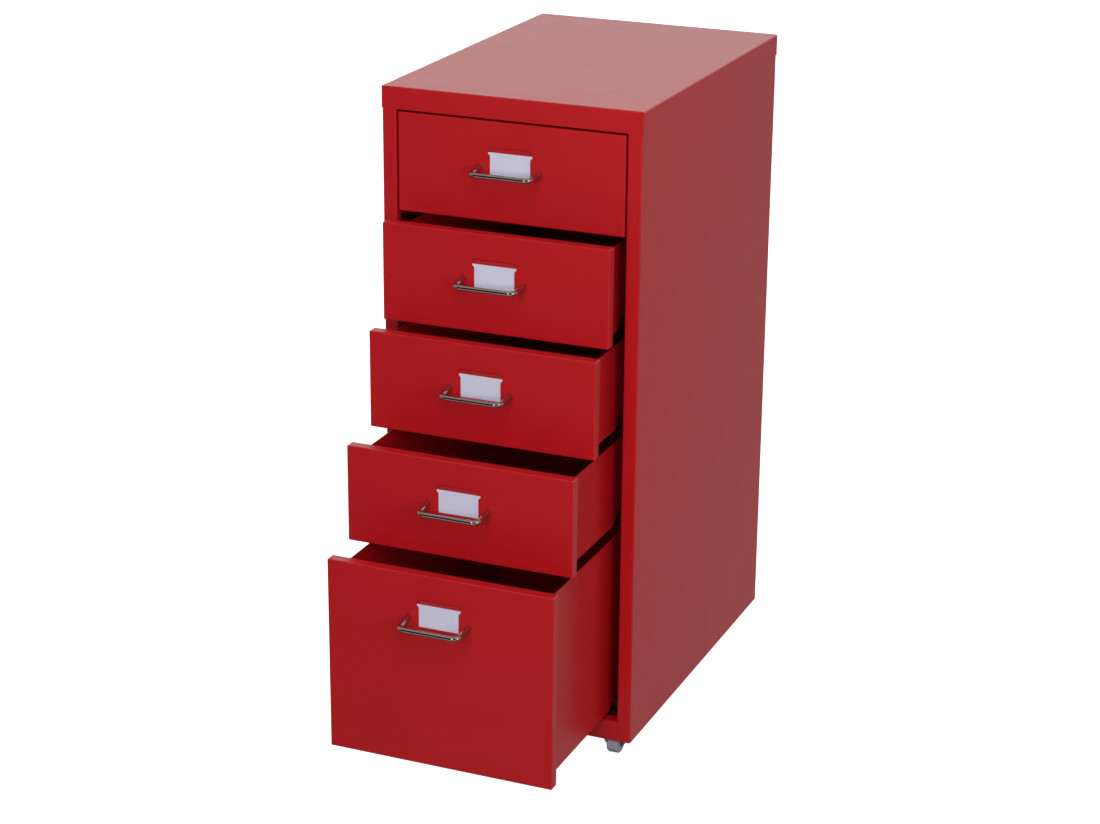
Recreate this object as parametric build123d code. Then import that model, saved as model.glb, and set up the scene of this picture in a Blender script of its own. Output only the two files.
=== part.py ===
"""Mobile pedestal: a folded steel cabinet on swivel castors, with five drawers partly pulled out.

Millimetres, +Z up, +X to the cabinet's right as its user faces it, the drawers open towards -Y.
The origin is on the floor, under the centre of the cabinet. Each piece is written to its own file.
"""
from build123d import *
import os

# Cabinet
cap_width = 280.0
cap_depth = 410.0
total_height = 692.0
skirt_to_floor = 20.0
sheet = 1.0
bend_outer = 1.5
cap_drop = 22.5
stile_width = 15.0
stile_lip = 8.0
rear_flange = 14.0
sill_height = 22.0
sill_return = 12.0
base_flange = 10.0

# Castors
wheel_radius = 12.5
wheel_width = 12.5
wheel_edge_radius = 1.8
hub_radius = 6.0
hub_proud = 0.3
wheel_side_clearance = 0.5
castor_trail = 6.0
swing_clearance = 1.0
axle_radius = 2.0
axle_hole_clearance = 0.03
axle_running_clearance = 0.05
axle_head_radius = 3.0
axle_head_thickness = 0.8
fork_sheet = 1.5
fork_eye_radius = 5.0
fork_depth = 22.0
fork_flare = 3.75
fork_flare_height = 5.0
fork_flare_above_head = 0.5
kingpin_radius = 3.0
kingpin_running_clearance = 0.05
kingpin_head_radius = 5.0
kingpin_head_thickness = 1.7
wheel_to_kingpin_gap = 1.2
swivel_gap = 0.3
raceway_radius = 13.0
raceway_thickness = 3.6
castor_plate_thickness = 2.0
castor_plate_margin = 0.5
castor_screw_offset = 15.0
castor_screw_radius = 2.0
castor_screw_head_radius = 3.5
castor_screw_head_thickness = 2.0
castor_screw_end = 3.0
screw_hole_clearance = 0.05

# Drawers, from the top one down
drawer_units = (1, 1, 1, 1, 2)
drawer_open = (0.0, 38.0, 71.0, 124.0, 171.0)
drawer_full_travel = 300.0
drawer_gap = 2.5
drawer_side_gap = 2.0
front_recess = 0.6
front_fold = 11.5
body_inset = 11.0
body_rise = 2.0
body_sheet = 0.8
body_rear_room = 8.0
body_flange = 9.0

# Runners
runner_side_clearance = 0.3
runner_support_clearance = 0.3
runner_ledge_width = 7.0
runner_riser = 5.0
runner_flange = 10.0
runner_front_room = 1.9
runner_rear_room = 3.0
keeper_clearance = 3.2
stop_clearance = 0.3
stop_height = 12.0
stop_thickness = 1.0
stop_side_clearance = 3.0
stop_width = 8.0
lug_thickness = 3.0
lug_width = 9.0
lug_rise = 2.0

# Label holder, measured down from the top edge of a drawer front
label_crease = 28.3
label_top = 31.5
label_window_bottom = 55.5
label_window_width = 43.4
label_lip_side = 2.3
label_lip_bottom = 1.5
label_lip_thickness = 0.7
label_ear_height = 4.5
card_thickness = 0.45
card_clearance = 0.05
card_side_clearance = 0.3

# Handle
handle_wire = 5.0
handle_centres = 65.0
handle_down = 46.5
handle_reach = 26.0
handle_droop = 2.5
handle_bend = 7.0
handle_screw_radius = 1.45
handle_thread_clearance = 0.05
handle_screw_hole = 1.6
handle_screw_depth = 6.0
handle_screw_head_radius = 2.8
handle_screw_head_thickness = 2.0

# Places worked out from the sizes above
bend_inner = bend_outer - sheet
half_width = cap_width / 2
half_body = half_width - sheet
half_inside = half_body - sheet
half_opening = half_body - stile_width
front_y = -cap_depth / 2
rear_y = cap_depth / 2
rear_inside_y = rear_y - 2 * sheet
skirt_z = skirt_to_floor
cap_edge_z = total_height - cap_drop
cap_under_z = total_height - sheet
sill_top_z = skirt_z + sill_height

half_front = half_opening - drawer_side_gap
half_drawer = half_front - body_inset
unit_gaps = sum(drawer_units) + 1
unit_height = (cap_edge_z - sill_top_z - unit_gaps * drawer_gap) / sum(drawer_units)
front_closed_y = front_y + front_recess
body_closed_y = front_closed_y + front_fold
body_back_y = rear_inside_y - body_rear_room
body_length = body_back_y - body_closed_y
runner_front_y = body_closed_y + runner_front_room
runner_rear_y = rear_inside_y - runner_rear_room
runner_guide_x = half_drawer + runner_side_clearance
runner_stop_y = runner_front_y + stop_thickness
lug_closed_y = runner_stop_y + stop_clearance + drawer_full_travel

pin_head_under_z = 2 * wheel_radius + wheel_to_kingpin_gap
crown_under_z = pin_head_under_z + kingpin_head_thickness + swivel_gap
crown_top_z = crown_under_z + fork_sheet
raceway_under_z = crown_top_z + swivel_gap
plate_under_z = raceway_under_z + raceway_thickness
base_under_z = plate_under_z + castor_plate_thickness
fork_flare_bottom = wheel_radius + axle_head_radius + fork_flare_above_head
fork_flare_top = fork_flare_bottom + fork_flare_height
wheel_reach = castor_trail + wheel_radius
swing_radius = (wheel_reach**2 + (wheel_width / 2) ** 2) ** 0.5
castor_inset = swing_radius + swing_clearance
castor_x = half_inside - castor_inset
castor_front_y = front_y + sheet + castor_inset
castor_rear_y = rear_inside_y - castor_inset
castor_places = {
    "front_left": (-castor_x, castor_front_y),
    "front_right": (castor_x, castor_front_y),
    "rear_left": (-castor_x, castor_rear_y),
    "rear_right": (castor_x, castor_rear_y),
}

os.makedirs("parts", exist_ok=True)


def save(shape, name):
    """Write one piece to its own file."""
    export_step(shape, f"parts/{name}.step")


def block(x, y, z):
    """A box between two x values, two y values and two z values."""
    lows = [min(pair) for pair in (x, y, z)]
    sizes = [abs(pair[1] - pair[0]) for pair in (x, y, z)]
    return Pos(*lows) * Box(*sizes, align=(Align.MIN, Align.MIN, Align.MIN))


def rod(radius, start, end, axis="Z"):
    """A round bar along X, Y or Z between two centres that differ only on that axis."""
    turn = {"X": Rot(0, 90, 0), "Y": Rot(-90, 0, 0), "Z": Rot(0, 0, 0)}[axis]
    length = abs(sum(b - a for a, b in zip(start, end)))
    low = [min(a, b) for a, b in zip(start, end)]
    bottom = (Align.CENTER, Align.CENTER, Align.MIN)
    return Pos(*low) * turn * Cylinder(radius, length, align=bottom)


def fold(shape, axis, places, radius):
    """Round the edges along an axis that pass through the given points."""
    chosen = [
        edge
        for edge in shape.edges().filter_by(axis)
        if any((edge.center() - Vector(*place)).cross(axis.direction).length < 0.01 for place in places)
    ]
    return fillet(chosen, radius)


def mirrored(shape):
    """The same piece on the other side of the cabinet."""
    return shape.mirror(Plane.YZ)


def make_top_cap():
    """The lid: a tray turned upside down, its four flanges closed round the corners."""
    outer = block((-half_width, half_width), (front_y, rear_y), (cap_edge_z, total_height))
    outer = fillet(outer.edges().filter_by(Axis.Z), bend_outer)
    outer = fillet(outer.faces().sort_by(Axis.Z)[-1].edges(), bend_outer)
    inner = block((-half_body, half_body), (front_y + sheet, rear_y - sheet), (cap_edge_z, cap_under_z))
    inner = fillet(inner.edges().filter_by(Axis.Z), bend_inner)
    inner = fillet(inner.faces().sort_by(Axis.Z)[-1].edges(), bend_inner)
    return outer - inner


def make_folded_side(z, with_lip):
    """A stretch of the right side: the stile, the side itself and the rear flange."""
    panel = block((half_inside, half_body), (front_y, rear_y), z)
    panel += block((half_opening, half_body), (front_y, front_y + sheet), z)
    panel += block((half_body - rear_flange, half_body), (rear_y - sheet, rear_y), z)
    outer = [(half_body, front_y), (half_body, rear_y)]
    inner = [(half_inside, front_y + sheet), (half_inside, rear_y - sheet)]
    if with_lip:
        panel += block((half_opening, half_opening + sheet), (front_y, front_y + sheet + stile_lip), z)
        outer.append((half_opening, front_y))
        inner.append((half_opening + sheet, front_y + sheet))
    panel = fold(panel, Axis.Z, outer, bend_outer)
    return fold(panel, Axis.Z, inner, bend_inner)


def make_right_side_panel():
    """One sheet: its stile has a lip above the sill, and its top tucks up inside the cap."""
    panel = make_folded_side((skirt_z, sill_top_z), with_lip=False)
    panel += make_folded_side((sill_top_z, cap_edge_z), with_lip=True)
    tucked_y = (front_y + sheet + bend_inner, rear_y - sheet - bend_inner)
    return panel + block((half_inside, half_body), tucked_y, (cap_edge_z, cap_under_z - bend_inner))


def make_back_panel():
    """A flat sheet inside the rear flanges, from the cap down to the skirt."""
    across = half_inside - bend_inner
    return block((-across, across), (rear_inside_y, rear_y - sheet), (skirt_z, cap_under_z - bend_inner))


def castor_screw_places(place):
    """The centres of a castor's four screws."""
    x, y = place
    steps = (-castor_screw_offset, castor_screw_offset)
    return [(x + dx, y + dy) for dx in steps for dy in steps]


def make_base_panel():
    """The floor of the cabinet: a sheet with its four edges turned up, drilled for the castors."""
    y = (front_y + sheet + bend_inner, rear_inside_y)
    z = (base_under_z, base_under_z + sheet)
    raised = (base_under_z, z[1] + base_flange)
    panel = block((-half_inside, half_inside), y, z)
    panel += block((-half_inside, sheet - half_inside), y, raised)
    panel += block((half_inside - sheet, half_inside), y, raised)
    panel += block((-half_inside, half_inside), (rear_inside_y - sheet, rear_inside_y), raised)
    front_flange_z = (base_under_z, sill_top_z - sheet - bend_inner)
    panel += block((-half_opening, half_opening), (front_y + sheet, front_y + 2 * sheet), front_flange_z)
    for place in castor_places.values():
        for x, y_screw in castor_screw_places(place):
            hole = castor_screw_radius + screw_hole_clearance
            panel -= rod(hole, (x, y_screw, z[0]), (x, y_screw, z[1]))
    return panel


def make_bottom_rail():
    """The sill between the stiles, its top edge turned back."""
    x = (-half_opening, half_opening)
    rail = block(x, (front_y, front_y + sheet), (skirt_z, sill_top_z))
    rail += block(x, (front_y, front_y + sill_return), (sill_top_z - sheet, sill_top_z))
    rail = fold(rail, Axis.X, [(0, front_y, sill_top_z)], bend_outer)
    return fold(rail, Axis.X, [(0, front_y + sheet, sill_top_z - sheet)], bend_inner)


def drawer_levels():
    """Each drawer front's bottom and top, from the top drawer down."""
    levels = []
    top = cap_edge_z - drawer_gap
    for units in drawer_units:
        bottom = top - units * unit_height - (units - 1) * drawer_gap
        levels.append((bottom, top))
        top = bottom - drawer_gap
    return levels


def make_right_runner(body_z):
    """The stepped runner under one drawer: ledge, riser, web, and a flange on the side panel."""
    y = (runner_front_y, runner_rear_y)
    ledge_z = body_z - runner_support_clearance
    web_z = body_z + runner_riser
    ledge_x = half_drawer - runner_ledge_width
    runner = block((ledge_x, runner_guide_x + sheet), y, (ledge_z - sheet, ledge_z))
    runner += block((runner_guide_x, runner_guide_x + sheet), y, (ledge_z - sheet, web_z))
    runner += block((runner_guide_x, half_inside), y, (web_z - sheet, web_z))
    runner += block((half_inside - sheet, half_inside), y, (web_z - sheet, web_z + runner_flange))
    front_stop_x = half_drawer + stop_side_clearance
    front_stop_y = (runner_stop_y - stop_thickness, runner_stop_y)
    runner += block((front_stop_x, front_stop_x + stop_width), front_stop_y, (web_z, web_z + stop_height))
    rear_stop_y = body_back_y + stop_clearance
    rear_stop = (rear_stop_y, rear_stop_y + stop_thickness)
    return runner + block((ledge_x, half_drawer), rear_stop, (ledge_z, ledge_z + stop_height))


def make_right_keeper(under_z):
    """An angle above the top drawer that stops it tipping."""
    y = (runner_front_y, runner_rear_y)
    ledge_x = half_drawer - runner_ledge_width
    keeper = block((ledge_x, half_inside), y, (under_z, under_z + sheet))
    return keeper + block((half_inside - sheet, half_inside), y, (under_z, under_z + runner_flange))


def cross_section(points, x_from, x_to):
    """A solid between two x values whose outline is given in y and z."""
    outline = Plane.YZ * make_face(Polyline(*points, close=True))
    return Pos(x_from, 0, 0) * extrude(outline, x_to - x_from)


def handle_screw_xs():
    """Where a drawer's two handle screws stand."""
    return (-handle_centres / 2, handle_centres / 2)


def make_drawer_front(face_y, bottom, top):
    """A tray folded back on four sides, with the label holder pressed into it."""
    x = (-half_front, half_front)
    front = block(x, (face_y, face_y + front_fold), (bottom, top))
    front = fillet(front.faces().sort_by(Axis.Y)[0].edges(), bend_outer)
    inside_x = (-half_front + sheet, half_front - sheet)
    hollow = block(inside_x, (face_y + sheet, face_y + front_fold), (bottom + sheet, top - sheet))
    hollow = fillet(hollow.faces().sort_by(Axis.Y)[0].edges(), bend_inner)
    front -= hollow

    half_window = label_window_width / 2
    half_slot = half_window + label_lip_side
    slot_depth = card_thickness + 2 * card_clearance
    pocket_y = face_y + label_lip_thickness + slot_depth
    slot_bottom = top - label_window_bottom - label_lip_bottom
    pressed_x = (-half_slot - sheet, half_slot + sheet)
    pressed_z = (slot_bottom - sheet, top - label_crease + sheet)
    front += block(pressed_x, (face_y + sheet, pocket_y + sheet), pressed_z)
    slot_y = (face_y + label_lip_thickness, pocket_y)
    front -= block((-half_slot, half_slot), slot_y, (slot_bottom, top - label_top))
    window_z = (top - label_window_bottom, top - label_top)
    front -= block((-half_window, half_window), (face_y, pocket_y), window_z)
    ramp = [
        (face_y, top - label_crease),
        (face_y, top - label_top),
        (pocket_y, top - label_top),
    ]
    front -= cross_section(ramp, -half_slot, half_slot)
    for side in (-1, 1):
        ear = Polyline(
            (side * half_window, top - label_top),
            (side * half_slot, top - label_top),
            (side * half_window, top - label_top - label_ear_height),
            close=True,
        )
        ear_solid = extrude(Plane.XZ * make_face(ear), -label_lip_thickness)
        front -= Pos(0, face_y, 0) * ear_solid

    for screw_x in handle_screw_xs():
        z = top - handle_down
        front -= rod(handle_screw_hole, (screw_x, face_y, z), (screw_x, face_y + sheet, z), "Y")
    return front


def make_label_card(face_y, top):
    """The card that slides into the holder from above."""
    half_card = label_window_width / 2 + label_lip_side - card_side_clearance
    y = face_y + label_lip_thickness + card_clearance
    z = (top - label_window_bottom - label_lip_bottom, top - label_top)
    return block((-half_card, half_card), (y, y + card_thickness), z)


def make_drawer_body(face_y, bottom, top):
    """The floor, sides and back: flanges welded behind the front's skin, and a stop lug on each side."""
    skin_y = face_y + sheet
    fold_y = face_y + front_fold
    y = (skin_y, fold_y + body_length)
    z = (bottom + body_rise, top)
    under_fold_z = top - sheet - bend_inner
    body = block((-half_drawer, half_drawer), y, z)
    inside_x = (-half_drawer + body_sheet, half_drawer - body_sheet)
    body -= block(inside_x, (y[0], y[1] - body_sheet), (z[0] + body_sheet, z[1]))
    body -= block((-half_drawer, half_drawer), (skin_y, fold_y), (under_fold_z, top))
    lug_y = face_y - front_closed_y + lug_closed_y
    lug_z = z[0] + runner_riser + lug_rise
    for side in (-1, 1):
        flange_x = (side * (half_drawer - body_sheet), side * (half_drawer + body_flange))
        body += block(flange_x, (skin_y, skin_y + body_sheet), (z[0], under_fold_z))
        lug_x = (side * half_drawer, side * (half_drawer + lug_width))
        body += block(lug_x, (lug_y, lug_y + lug_thickness), (lug_z, lug_z + stop_height))
    return body


def make_handle(face_y, top):
    """A round wire bent to a U, its legs drooping a little, drilled in both ends for screws."""
    half_span = handle_centres / 2
    root_z = top - handle_down
    bar_y = face_y - handle_reach
    bar_z = root_z - handle_droop
    inset = sheet
    inset_z = root_z + handle_droop * inset / handle_reach
    path = FilletPolyline(
        (-half_span, face_y + inset, inset_z),
        (-half_span, bar_y, bar_z),
        (half_span, bar_y, bar_z),
        (half_span, face_y + inset, inset_z),
        radius=handle_bend,
    )
    section = Plane(origin=path @ 0, z_dir=path % 0) * Circle(handle_wire / 2)
    handle = sweep(section, path=path)
    beyond = handle_centres
    handle -= block((-beyond, beyond), (face_y, face_y + beyond), (root_z - beyond, root_z + beyond))
    bore = handle_screw_radius + handle_thread_clearance
    for screw_x in handle_screw_xs():
        bore_end = face_y - handle_screw_depth - sheet
        handle -= rod(bore, (screw_x, face_y, root_z), (screw_x, bore_end, root_z), "Y")
    return handle


def make_handle_screws(face_y, top):
    """Two pan-head screws from behind the drawer's front skin."""
    z = top - handle_down
    seat_y = face_y + sheet
    screws = []
    for x in handle_screw_xs():
        shank = rod(handle_screw_radius, (x, face_y - handle_screw_depth, z), (x, seat_y, z), "Y")
        head_y = seat_y + handle_screw_head_thickness
        head = rod(handle_screw_head_radius, (x, seat_y, z), (x, head_y, z), "Y")
        screws.append(shank + head)
    return Compound(children=screws)


def make_castor_plate(place):
    """The fixed half of a castor: a square plate, the raceway's outer ring and the kingpin."""
    x, y = place
    half = castor_inset - castor_plate_margin
    plate = block((x - half, x + half), (y - half, y + half), (plate_under_z, base_under_z))
    for screw_x, screw_y in castor_screw_places(place):
        hole = castor_screw_radius + screw_hole_clearance
        plate -= rod(hole, (screw_x, screw_y, plate_under_z), (screw_x, screw_y, base_under_z))
    raceway = rod(raceway_radius, (x, y, raceway_under_z), (x, y, plate_under_z))
    raceway = fillet(raceway.faces().sort_by(Axis.Z)[0].edges(), raceway_thickness / 3)
    pin = rod(kingpin_radius, (x, y, pin_head_under_z), (x, y, raceway_under_z))
    head_top = pin_head_under_z + kingpin_head_thickness
    return plate + raceway + pin + rod(kingpin_head_radius, (x, y, pin_head_under_z), (x, y, head_top))


def castor_leg_x():
    """How far from the middle a fork leg's inner face stands."""
    return wheel_width / 2 + wheel_side_clearance


def make_castor_fork(place):
    """A bent strap: crown under the raceway, legs drawn in to the wheel and trailing to -Y."""
    x, y = place
    eye_z = wheel_radius
    inner = castor_leg_x()
    outer = inner + fork_sheet
    lowest = eye_z - fork_eye_radius
    section = [
        (outer, lowest),
        (outer, fork_flare_bottom),
        (outer + fork_flare, fork_flare_top),
        (outer + fork_flare, crown_top_z),
        (-outer - fork_flare, crown_top_z),
        (-outer - fork_flare, fork_flare_top),
        (-outer, fork_flare_bottom),
        (-outer, lowest),
        (-inner, lowest),
        (-inner, fork_flare_bottom),
        (-inner - fork_flare, fork_flare_top),
        (-inner - fork_flare, crown_under_z),
        (inner + fork_flare, crown_under_z),
        (inner + fork_flare, fork_flare_top),
        (inner, fork_flare_bottom),
        (inner, lowest),
    ]
    strap = extrude(Plane.XZ * make_face(Polyline(*section, close=True)), fork_depth, both=True)
    half_depth = fork_depth / 2
    eye_y = -castor_trail
    side_view = [
        (-half_depth, crown_top_z),
        (half_depth, crown_top_z),
        (half_depth, fork_flare_top),
        (eye_y + fork_eye_radius, eye_z),
        (eye_y - fork_eye_radius, eye_z),
        (-half_depth, fork_flare_top),
    ]
    reach = outer + fork_flare
    outline = cross_section(side_view, -reach, reach)
    outline += rod(fork_eye_radius, (-reach, eye_y, eye_z), (reach, eye_y, eye_z), "X")
    fork = strap & outline
    fork -= rod(axle_radius + axle_hole_clearance, (-reach, eye_y, eye_z), (reach, eye_y, eye_z), "X")
    fork -= rod(kingpin_radius + kingpin_running_clearance, (0, 0, crown_under_z), (0, 0, crown_top_z))
    return Pos(x, y, 0) * fork


def make_castor_wheel(place):
    """A plastic wheel with rounded tread edges and a small hub boss each side."""
    x, y = place
    y -= castor_trail
    half = wheel_width / 2
    wheel = rod(wheel_radius, (x - half, y, wheel_radius), (x + half, y, wheel_radius), "X")
    wheel = fillet(wheel.edges().filter_by(GeomType.CIRCLE), wheel_edge_radius)
    boss = half + hub_proud
    wheel += rod(hub_radius, (x - boss, y, wheel_radius), (x + boss, y, wheel_radius), "X")
    bore = axle_radius + axle_running_clearance
    return wheel - rod(bore, (x - boss, y, wheel_radius), (x + boss, y, wheel_radius), "X")


def make_castor_axle(place):
    """A rivet through both legs, with a head on each side."""
    x, y = place
    y -= castor_trail
    seat = castor_leg_x() + fork_sheet
    axle = rod(axle_radius, (x - seat, y, wheel_radius), (x + seat, y, wheel_radius), "X")
    for side in (-1, 1):
        inner = x + side * seat
        outer = inner + side * axle_head_thickness
        axle += rod(axle_head_radius, (inner, y, wheel_radius), (outer, y, wheel_radius), "X")
    return axle


def make_castor_screws():
    """The screws of all four castors: heads under the plates, ends above the base panel."""
    screws = []
    for place in castor_places.values():
        for x, y in castor_screw_places(place):
            head_z = plate_under_z - castor_screw_head_thickness
            head = rod(castor_screw_head_radius, (x, y, head_z), (x, y, plate_under_z))
            end_z = base_under_z + sheet + castor_screw_end
            screws.append(head + rod(castor_screw_radius, (x, y, plate_under_z), (x, y, end_z)))
    return Compound(children=screws)


def save_both_sides(right, name):
    """Write a right-hand piece and its mirror image."""
    save(right, f"right_{name}")
    save(mirrored(right), f"left_{name}")


# Cabinet
save(make_top_cap(), "top_cap")
save_both_sides(make_right_side_panel(), "side_panel")
save(make_back_panel(), "back_panel")
save(make_base_panel(), "base_panel")
save(make_bottom_rail(), "bottom_rail")
save(make_castor_screws(), "castor_screws")

# Drawers and their runners
levels = drawer_levels()
save_both_sides(make_right_keeper(levels[0][1] + keeper_clearance), "keeper")
for number, ((bottom, top), opened) in enumerate(zip(levels, drawer_open), start=1):
    face_y = front_closed_y - opened
    save_both_sides(make_right_runner(bottom + body_rise), f"runner_{number}")
    save(make_drawer_front(face_y, bottom, top), f"drawer_{number}_front")
    save(make_label_card(face_y, top), f"drawer_{number}_label_card")
    save(make_drawer_body(face_y, bottom, top), f"drawer_{number}_body")
    save(make_handle(face_y, top), f"drawer_{number}_handle")
    save(make_handle_screws(face_y, top), f"drawer_{number}_handle_screws")

# Castors
for corner, place in castor_places.items():
    save(make_castor_plate(place), f"{corner}_castor_plate")
    save(make_castor_fork(place), f"{corner}_castor_fork")
    save(make_castor_wheel(place), f"{corner}_castor_wheel")
    save(make_castor_axle(place), f"{corner}_castor_axle")
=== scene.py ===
"""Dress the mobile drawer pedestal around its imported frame.

Every length is in metres, in the frame's own axes: +Z up, +X to the right of someone facing the drawers,
and the drawers open towards -Y. Each sub-assembly is a class whose fields are its sizes. Its methods fold,
turn and cut its pieces with Blender's own mesh operators and give each piece its finish.
"""
import logging
import math
from dataclasses import dataclass
from enum import Enum
from functools import partial, reduce
from typing import Any, Callable, Iterable, Sequence

import bmesh
import bpy
from mathutils import Matrix, Vector


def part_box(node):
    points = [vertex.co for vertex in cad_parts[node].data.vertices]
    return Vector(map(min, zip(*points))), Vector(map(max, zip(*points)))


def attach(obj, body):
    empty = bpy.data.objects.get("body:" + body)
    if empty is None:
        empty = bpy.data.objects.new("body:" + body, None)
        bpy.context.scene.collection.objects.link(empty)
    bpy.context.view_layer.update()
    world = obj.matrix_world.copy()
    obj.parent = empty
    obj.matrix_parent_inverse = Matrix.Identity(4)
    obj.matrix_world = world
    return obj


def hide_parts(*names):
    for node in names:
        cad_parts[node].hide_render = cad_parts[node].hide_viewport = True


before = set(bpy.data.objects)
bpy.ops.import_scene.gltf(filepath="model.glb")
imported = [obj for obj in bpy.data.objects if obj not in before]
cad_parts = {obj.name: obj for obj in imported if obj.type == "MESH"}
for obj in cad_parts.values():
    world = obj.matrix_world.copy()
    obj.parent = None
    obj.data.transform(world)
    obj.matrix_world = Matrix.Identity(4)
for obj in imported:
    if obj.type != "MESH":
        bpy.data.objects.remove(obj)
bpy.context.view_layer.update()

log = logging.getLogger("pedestal")

MM = 0.001
CABINET = "cabinet"
PHOTO_WIDTH = 1100
SENSOR_WIDTH = 36.0

# Places closer than NEAR count as one, and directions as parallel where their dot product is over ALIGNED.
NEAR = 0.02 * MM
ALIGNED = 0.99

# A bent wire has one facet for each WIRE_FACET degrees, and faces shade as one below SMOOTH_BELOW degrees.
WIRE_FACET = 9
SMOOTH_BELOW = 35

Place = Sequence[float]
Triple = tuple[float, float, float]
Colour = Triple
Pair = tuple[float, float]
Test = Callable[[Vector, Vector], bool]
Socket = bpy.types.NodeSocket


class Slot(Enum):
    """The record's material slots."""

    RED_PAINT = "red_paint"
    CHROME = "chrome"
    ZINC = "zinc_steel"
    GREY_PLASTIC = "grey_plastic"
    WHITE_CARD = "white_card"


@dataclass(frozen=True)
class Look:
    """A finish's material and the record's slot that it belongs to."""

    material: bpy.types.Material
    slot: Slot


class Side(Enum):
    """The two sides of the cabinet, by the sign of x."""

    LEFT = -1
    RIGHT = 1


class Corner(Enum):
    """The cabinet's four castors."""

    FRONT_LEFT = "front_left"
    FRONT_RIGHT = "front_right"
    REAR_LEFT = "rear_left"
    REAR_RIGHT = "rear_right"


class Way(Enum):
    """The way that a turned piece points."""

    RIGHT = (1.0, 0.0, 0.0)
    FRONT = (0.0, -1.0, 0.0)
    UP = (0.0, 0.0, 1.0)


def corners(node: str) -> tuple[Vector, Vector]:
    """A node's lowest and highest corners at rest."""
    low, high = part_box(node)
    return Vector(low), Vector(high)


def angles(turn: float, steps: int) -> list[float]:
    """The angles from 0 to a turn, in equal steps."""
    return [turn * step / steps for step in range(steps + 1)]


def fold_line(end: Vector, along: Vector) -> Test:
    """A test for the edge that runs from a point along a vector."""
    middle, way = end + along / 2, along.normalized()
    return lambda place, run: (place - middle).length < NEAR and abs(run.dot(way)) > ALIGNED


def leave_edit_mode() -> None:
    """Go back to object mode and select nothing."""
    if bpy.context.object is not None and bpy.context.object.mode != "OBJECT":
        bpy.ops.object.mode_set(mode="OBJECT")
    bpy.ops.object.select_all(action="DESELECT")


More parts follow.
